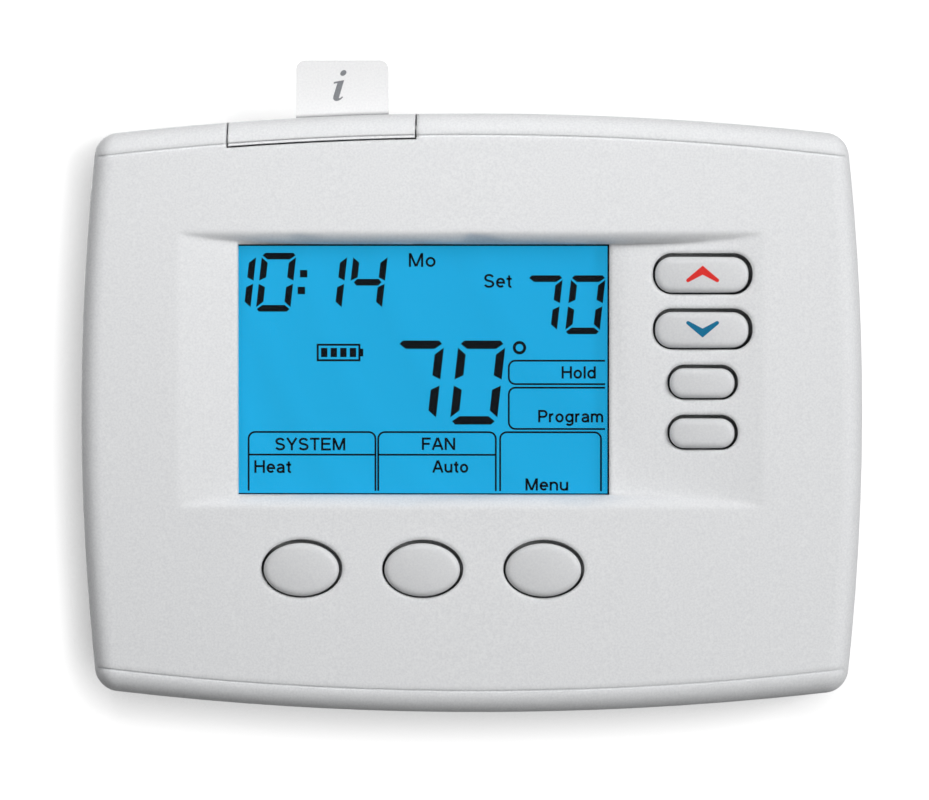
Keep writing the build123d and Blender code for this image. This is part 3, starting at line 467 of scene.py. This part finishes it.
def segment_shapes(digit):
    """Outlines of the seven segments of an upright digit."""
    tall, wide, t = digit["height"], digit["width"], digit["stroke"]
    middle = tall / 2
    tip = digit["side"] * t
    top = tall - digit["top"] * t
    foot = middle + digit["middle"] * t
    bar = [(tip, -0.4 * t), (tip + 0.4 * t, 0), (wide - tip - 0.4 * t, 0), (wide - tip, -0.4 * t)]
    bar += [(wide - tip - 0.82 * t, -t), (tip + 0.82 * t, -t)]
    post = [(0, top), (t, top - 0.82 * t), (t, foot + 0.5 * t), (0, foot)]
    belt = [(0.5 * t, 0), (0.95 * t, t / 2), (wide - 0.95 * t, t / 2), (wide - 0.5 * t, 0)]
    belt += [(wide - 0.95 * t, -t / 2), (0.95 * t, -t / 2)]
    shapes = {"a": [(x, tall + z) for x, z in bar], "d": [(x, -z) for x, z in bar], "f": post}
    shapes["b"] = [(wide - x, z) for x, z in post]
    shapes["e"] = [(x, tall - z) for x, z in post]
    shapes["c"] = [(wide - x, tall - z) for x, z in post]
    shapes["g"] = [(x, middle + z) for x, z in belt]
    return shapes


def number_shapes(digit, foot, figures):
    """Outlines of slanted digits, each given by its figure and the place of its upper right corner."""
    shapes = segment_shapes(digit)
    left_shift = digit["width"] + digit["height"] * DIGIT_SLANT
    outlines = []
    for figure, right in figures:
        for segment in SEGMENTS[figure]:
            shape = shapes[segment]
            outlines.append([(right - left_shift + x + z * DIGIT_SLANT, foot + z) for x, z in shape])
    return outlines


def letter_table():
    """Centre lines of plain grotesque letters for a capital height of 1: width, then the lines."""
    stem = [(0.08, 0), (0.08, 0.72)]
    bowl = arc(0.3, 0.36, 0.22, 0.29, 0, 340, 17)
    return {
        "A": (0.74, [(0.04, 0), (0.36, 1)], [(0.38, 1), (0.7, 0)], [(0.15, 0.33), (0.59, 0.33)]),
        "B": (
            0.66,
            [(0.08, 0.07), (0.08, 0.93), (0.36, 0.93)] + arc(0.36, 0.72, 0.2, 0.21, 80, -80) + [(0.08, 0.51)],
            [(0.36, 0.51)] + arc(0.38, 0.29, 0.22, 0.22, 80, -80) + [(0.08, 0.07)],
        ),
        "C": (0.7, arc(0.37, 0.5, 0.29, 0.43, 50, 310, 16)),
        "E": (0.66, [(0.64, 0.93), (0.08, 0.93), (0.08, 0.07), (0.65, 0.07)], [(0.08, 0.52), (0.59, 0.52)]),
        "F": (0.6, [(0.6, 0.93), (0.08, 0.93), (0.08, 0)], [(0.08, 0.5), (0.53, 0.5)]),
        "G": (0.74, arc(0.37, 0.5, 0.29, 0.43, 50, 345, 16) + [(0.66, 0.46), (0.42, 0.46)]),
        "H": (0.72, [(0.08, 0), (0.08, 1)], [(0.64, 0), (0.64, 1)], [(0.08, 0.53), (0.64, 0.53)]),
        "L": (0.56, [(0.08, 1), (0.08, 0.07), (0.54, 0.07)]),
        "M": (
            0.84,
            [(0.08, 0), (0.08, 1)],
            [(0.1, 0.97), (0.41, 0.04)],
            [(0.43, 0.04), (0.74, 0.97)],
            [(0.76, 1), (0.76, 0)],
        ),
        "N": (0.72, [(0.08, 0), (0.08, 1)], [(0.1, 0.96), (0.62, 0.04)], [(0.64, 0), (0.64, 1)]),
        "O": (0.78, arc(0.39, 0.5, 0.31, 0.43, 0, 360, 24)),
        "P": (
            0.66,
            [(0.08, 0), (0.08, 0.93), (0.38, 0.93)] + arc(0.38, 0.69, 0.21, 0.24, 80, -80) + [(0.08, 0.45)],
        ),
        "R": (
            0.68,
            [(0.08, 0), (0.08, 0.93), (0.38, 0.93)] + arc(0.38, 0.7, 0.21, 0.23, 80, -80) + [(0.08, 0.47)],
            [(0.36, 0.47), (0.62, 0)],
        ),
        "S": (0.66, arc(0.33, 0.72, 0.24, 0.21, 15, 250, 14) + arc(0.33, 0.28, 0.26, 0.21, 70, -165, 14)),
        "T": (0.62, [(0, 0.93), (0.62, 0.93)], [(0.31, 0.93), (0.31, 0)]),
        "W": (
            0.98,
            [(0.05, 1), (0.26, 0)],
            [(0.28, 0), (0.48, 0.96)],
            [(0.5, 0.96), (0.7, 0)],
            [(0.72, 0), (0.93, 1)],
        ),
        "Y": (0.68, [(0.04, 1), (0.34, 0.42)], [(0.34, 0.42), (0.64, 1)], [(0.34, 0.46), (0.34, 0)]),
        "a": (
            0.56,
            arc(0.27, 0.47, 0.2, 0.19, 160, 0) + [(0.48, 0)],
            [(0.48, 0.41), (0.27, 0.38)] + arc(0.23, 0.22, 0.15, 0.15, 90, 270) + [(0.34, 0.08), (0.48, 0.2)],
        ),
        "d": (0.6, bowl, [(0.52, 0), (0.52, 1)]),
        "e": (0.58, [(0.1, 0.38)] + arc(0.3, 0.37, 0.22, 0.29, 0, 315, 18)),
        "g": (0.6, bowl, [(0.52, 0.72), (0.52, 0)] + arc(0.3, -0.02, 0.22, 0.19, 0, -150)),
        "l": (0.16, [(0.08, 0), (0.08, 1)]),
        "m": (
            0.88,
            stem,
            arc(0.26, 0.44, 0.18, 0.22, 180, 0) + [(0.44, 0)],
            arc(0.62, 0.44, 0.18, 0.22, 180, 0) + [(0.8, 0)],
        ),
        "n": (0.58, stem, arc(0.29, 0.44, 0.21, 0.22, 180, 0) + [(0.5, 0)]),
        "o": (0.6, bowl + [(0.52, 0.36), (0.519, 0.38)]),
        "r": (0.36, stem, arc(0.3, 0.42, 0.22, 0.24, 180, 85)),
        "t": (
            0.34,
            [(0.17, 0.9), (0.17, 0.2)] + arc(0.28, 0.19, 0.11, 0.12, 180, 290, 6),
            [(0.0, 0.65), (0.33, 0.65)],
        ),
        "u": (0.58, [(0.08, 0.72)] + arc(0.29, 0.28, 0.21, 0.21, 180, 360), [(0.5, 0.72), (0.5, 0)]),
    }


def word_shapes(text, left, foot, width, height):
    """Strokes of a word, fitted to its width and the height of its capitals."""
    letters = letter_table()
    natural = sum(letters[c][0] for c in text) + LETTER_GAP * (len(text) - 1)
    across = width / natural
    shapes = []
    for c in text:
        for line in letters[c][1:]:
            points = [(left + x * across, foot + z * height) for x, z in line]
            shapes += ribbon(points, LETTER_STROKE)
        left += (letters[c][0] + LETTER_GAP) * across
    return shapes


def display_marks(ink):
    """Switched segments, frames and words on the front of the display glass, and dark strips at the window's
    edges that paint its shadow on the right and at the top.
    """
    low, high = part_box("lcd_glass")
    middle = ((low[0] + high[0]) / 2 / MM, (low[2] + high[2]) / 2 / MM)
    marks = {name: number_shapes(*spec) for name, spec in NUMBERS.items()}
    h = COLON_DOT / 2
    marks["display_time"] += [rectangle(x - h, x + h, z - h, z + h) for x, z in COLON_DOTS]
    x, z, r = DEGREE
    marks["display_room_value"] += ribbon(arc(x, z, r, r, 0, 345, 23), DEGREE_STROKE, True)
    lines = []
    c = FRAME_CORNER
    for left, right, top, bottom in SIDE_FIELDS:
        line = [(right, top)] + arc(left + c, top - c, c, c, 90, 180, 6)
        lines.append(line + arc(left + c, bottom + c, c, c, 180, 270, 6) + [(right, bottom)])
    for left, right, top, bottom in FOOT_FIELDS:
        line = [(left, bottom)] + arc(left + c, top - c, c, c, 180, 90, 6)
        lines.append(line + arc(right - c, top - c, c, c, 90, 0, 6) + [(right, bottom)])
    lines += [[(left, FOOT_RULE), (right, FOOT_RULE)] for left, right, _top, _bottom in FOOT_FIELDS[:2]]
    marks["display_frames"] = [quad for line in lines for quad in ribbon(line, FRAME_LINE)]
    left, right, bottom, top = BATTERY
    sign = ribbon([(left, top), (right, top), (right, bottom), (left, bottom)], BATTERY_LINE, True)
    nub = (top - bottom) / 4
    half = (top + bottom) / 2
    sign.append(rectangle(right, right + nub, half - nub, half + nub))
    pitch = (right - left) / (BATTERY_BARS + 0.35)
    for i in range(BATTERY_BARS):
        x = left + pitch * (i + 0.68)
        b = BATTERY_BAR / 2
        sign.append(rectangle(x - b, x + b, bottom + b, top - b))
    marks["display_battery"] = sign
    for name, spec in WORDS.items():
        marks[name] = word_shapes(*spec)
    # Painted shadow along the window's right and top edges, and a thin dark line along its bottom edge
    marks["display_edge_seal"] = [rectangle(*strip) for strip in DISPLAY_EDGE_SHADOW]
    for name, shapes in marks.items():
        mesh = raised_marks(name, shapes, low[1], MARK_THICKNESS, middle)
        place_piece(name, mesh, ink, "front")


def arrow_shapes(upwards):
    """A pointed arrow whose two arms taper to round tips."""
    s = 1 if upwards else -1
    tip = Vector(ARROW_TIP)
    way = (tip - Vector((0.0, (ARROW_APEX + ARROW_NOTCH) / 2))).normalized()
    side = Vector((-way.y, way.x)) * ARROW_TIP_RADIUS
    steps = [i / ARROW_STEPS for i in range(ARROW_STEPS + 1)]
    outer = [Vector((0.0, ARROW_APEX)).lerp(tip + side, step) for step in steps]
    inner = [Vector((0.0, ARROW_NOTCH)).lerp(tip - side, step) for step in steps]
    turn = math.degrees(math.atan2(side.y, side.x))
    shapes = [[outer[i], outer[i + 1], inner[i + 1], inner[i]] for i in range(ARROW_STEPS)]
    shapes.append(arc(tip.x, tip.y, ARROW_TIP_RADIUS, ARROW_TIP_RADIUS, turn, turn - 180))
    return [[(m * p[0], s * p[1]) for p in shape] for shape in shapes for m in (1, -1)]


def key_arrow(key, upwards, material, body):
    """Arrow printed on the dome of a key."""
    low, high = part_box(key)
    x0 = (low[0] + high[0]) / 2
    z0 = (low[2] + high[2]) / 2

    def dome(x, z):
        return low[1] + KEY_DOME_RADIUS - math.sqrt(KEY_DOME_RADIUS**2 - (x - x0) ** 2 - (z - z0) ** 2)

    mesh = raised_marks(key + "_arrow", arrow_shapes(upwards), dome, PRINT_THICKNESS, (x0 / MM, z0 / MM))
    place_piece(key + "_arrow", mesh, material, body)


def tab_letter(material):
    """Slanted serif letter on the card's tab: a dot, and a stem with a flag and a curled foot."""
    unit = LETTER_HEIGHT
    stem = [(0.09, 0.66), (-0.21, 0.6), (-0.2, 0.55), (-0.09, 0.575), (-0.09, 0.14), (-0.075, 0.07)]
    stem += [(-0.03, 0.02), (0.03, 0.0), (0.1, 0.01), (0.17, 0.05), (0.22, 0.12), (0.19, 0.14)]
    stem += [(0.15, 0.1), (0.11, 0.08), (0.09, 0.1)]
    dot = arc(0.0, 0.89, 0.09, 0.09, 0, 345, 23)
    shapes = [[(unit * (x + z * LETTER_LEAN), unit * z) for x, z in shape] for shape in (stem, dot)]
    mesh = raised_marks("tab_letter", shapes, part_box("info_card")[0][1], PRINT_THICKNESS, LETTER_PLACE)
    place_piece("tab_letter", mesh, material, "card")


def card_lines(material):
    """Rows of print on the card, drawn as plain bars in two columns."""
    low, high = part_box("info_card")
    left, right = low[0] / MM + CARD_MARGIN, high[0] / MM - CARD_MARGIN
    first, second = 0.3 * (right - left), 0.55 * (right - left)
    shapes = []
    for row in range(CARD_ROWS):
        z = CARD_FIRST_ROW - row * CARD_ROW_PITCH
        short = 0.05 * (row * 3 % 5)
        for start, length in ((left, first), (right - second, second)):
            end = start + length * (1 - short)
            shapes.append(rectangle(start, end, z, z + CARD_BAR))
    mesh = raised_marks("card_lines", shapes, low[1], PRINT_THICKNESS)
    place_piece("card_lines", mesh, material, "card")


def terminal_letters(material):
    """Usual letters of the wires, printed between each terminal's screw and socket."""
    for node, letters in TERMINAL_LETTERS.items():
        low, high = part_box(node)
        pitch = (high[0] - low[0]) / len(letters) / MM
        foot = high[2] / MM - TERMINAL_LETTER_DROP
        shapes = []
        for i, letter in enumerate(letters):
            wide = letter_table()[letter][0] * TERMINAL_LETTER_HEIGHT
            left = low[0] / MM + (i + 0.5) * pitch - wide / 2
            shapes += word_shapes(letter, left, foot, wide, TERMINAL_LETTER_HEIGHT)
        mesh = raised_marks(node + "_letters", shapes, low[1], PRINT_THICKNESS)
        place_piece(node + "_letters", mesh, material, "base")


def paint(material, *nodes):
    """Gives nodes of the construction a material."""
    for node in nodes:
        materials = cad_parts[node].data.materials
        materials.clear()
        materials.append(material)


def paint_nodes():
    """Gives every node of the construction its finish."""
    for name, (*finish, nodes) in PLASTICS.items():
        paint(moulded_plastic(name, *finish), *nodes)
    for name, (*finish, nodes) in METALS.items():
        paint(plated_metal(name, *finish), *nodes)
    paint(solder_masked_board(), "main_board")
    paint(foil_sleeve(), "battery_cells")
    paint(lit_display_glass(), "lcd_glass")
    paint(clear_acrylic(), "display_lens")


def aim_at(thing, place, target):
    """Puts a camera or lamp at a place and turns it to a target."""
    thing.location = place
    thing.rotation_euler = (Vector(target) - Vector(place)).to_track_quat("-Z", "Y").to_euler()


def soft_lamp(name, place, size, power):
    """A square lamp that is aimed at the middle of the part."""
    lamp = bpy.data.lights.new(name, "AREA")
    lamp.size = size
    lamp.energy = power
    holder = bpy.data.objects.new(name, lamp)
    bpy.context.collection.objects.link(holder)
    aim_at(holder, place, (0, 0, 0))


def set_the_stage():
    """Wall, camera and light."""
    back = cad_box[1][1] + WALL_GAP
    corners = [(x * WALL_HALF, back, z * WALL_HALF) for x, z in ((-1, -1), (1, -1), (1, 1), (-1, 1))]
    mesh = bpy.data.meshes.new("backdrop")
    mesh.from_pydata(corners, [], [(0, 1, 2, 3)])
    mesh.materials.append(studio_wall())
    backdrop = bpy.data.objects.new("backdrop", mesh)
    bpy.context.collection.objects.link(backdrop)
    scene = bpy.context.scene
    lens = bpy.data.cameras.new("camera")
    lens.sensor_width = SENSOR_WIDTH
    lens.lens = SENSOR_WIDTH * CAMERA_DISTANCE / (IMAGE_WIDTH * MM_PER_PIXEL * MM)
    camera = bpy.data.objects.new("camera", lens)
    bpy.context.collection.objects.link(camera)
    turn, rise = math.radians(CAMERA_AZIMUTH), math.radians(CAMERA_ELEVATION)
    way = Vector((math.sin(turn) * math.cos(rise), -math.cos(turn) * math.cos(rise), math.sin(rise)))
    aim_at(camera, Vector(CAMERA_AIM) + way * CAMERA_DISTANCE, CAMERA_AIM)
    scene.camera = camera
    scene.view_settings.view_transform = "Standard"
    for name, spec in LAMPS.items():
        soft_lamp(name, *spec)
    world = bpy.data.worlds.new("room")
    world.use_nodes = True
    tree = world.node_tree
    level = add(tree, "ShaderNodeMapRange", {"Value": seen_rays(tree)}, To_Min=ROOM_LIGHT, To_Max=1.0)
    tree.links.new(level.outputs["Result"], tree.nodes["Background"].inputs["Strength"])
    tree.nodes["Background"].inputs["Color"].default_value = linear("#FFFFFF")
    scene.world = world


paint_nodes()
display_marks(display_ink())
key_arrow("up_key", True, pad_print("red_ink", "#DA2A26", "#E0332E"), "up_button")
key_arrow("down_key", False, pad_print("blue_ink", "#0A688E", "#0F7198"), "down_button")
grey_ink = pad_print("grey_ink", "#74767A", "#828488")
tab_letter(grey_ink)
card_lines(grey_ink)
terminal_letters(pad_print("white_ink", "#D8D9DA", "#E4E5E5"))
set_the_stage()
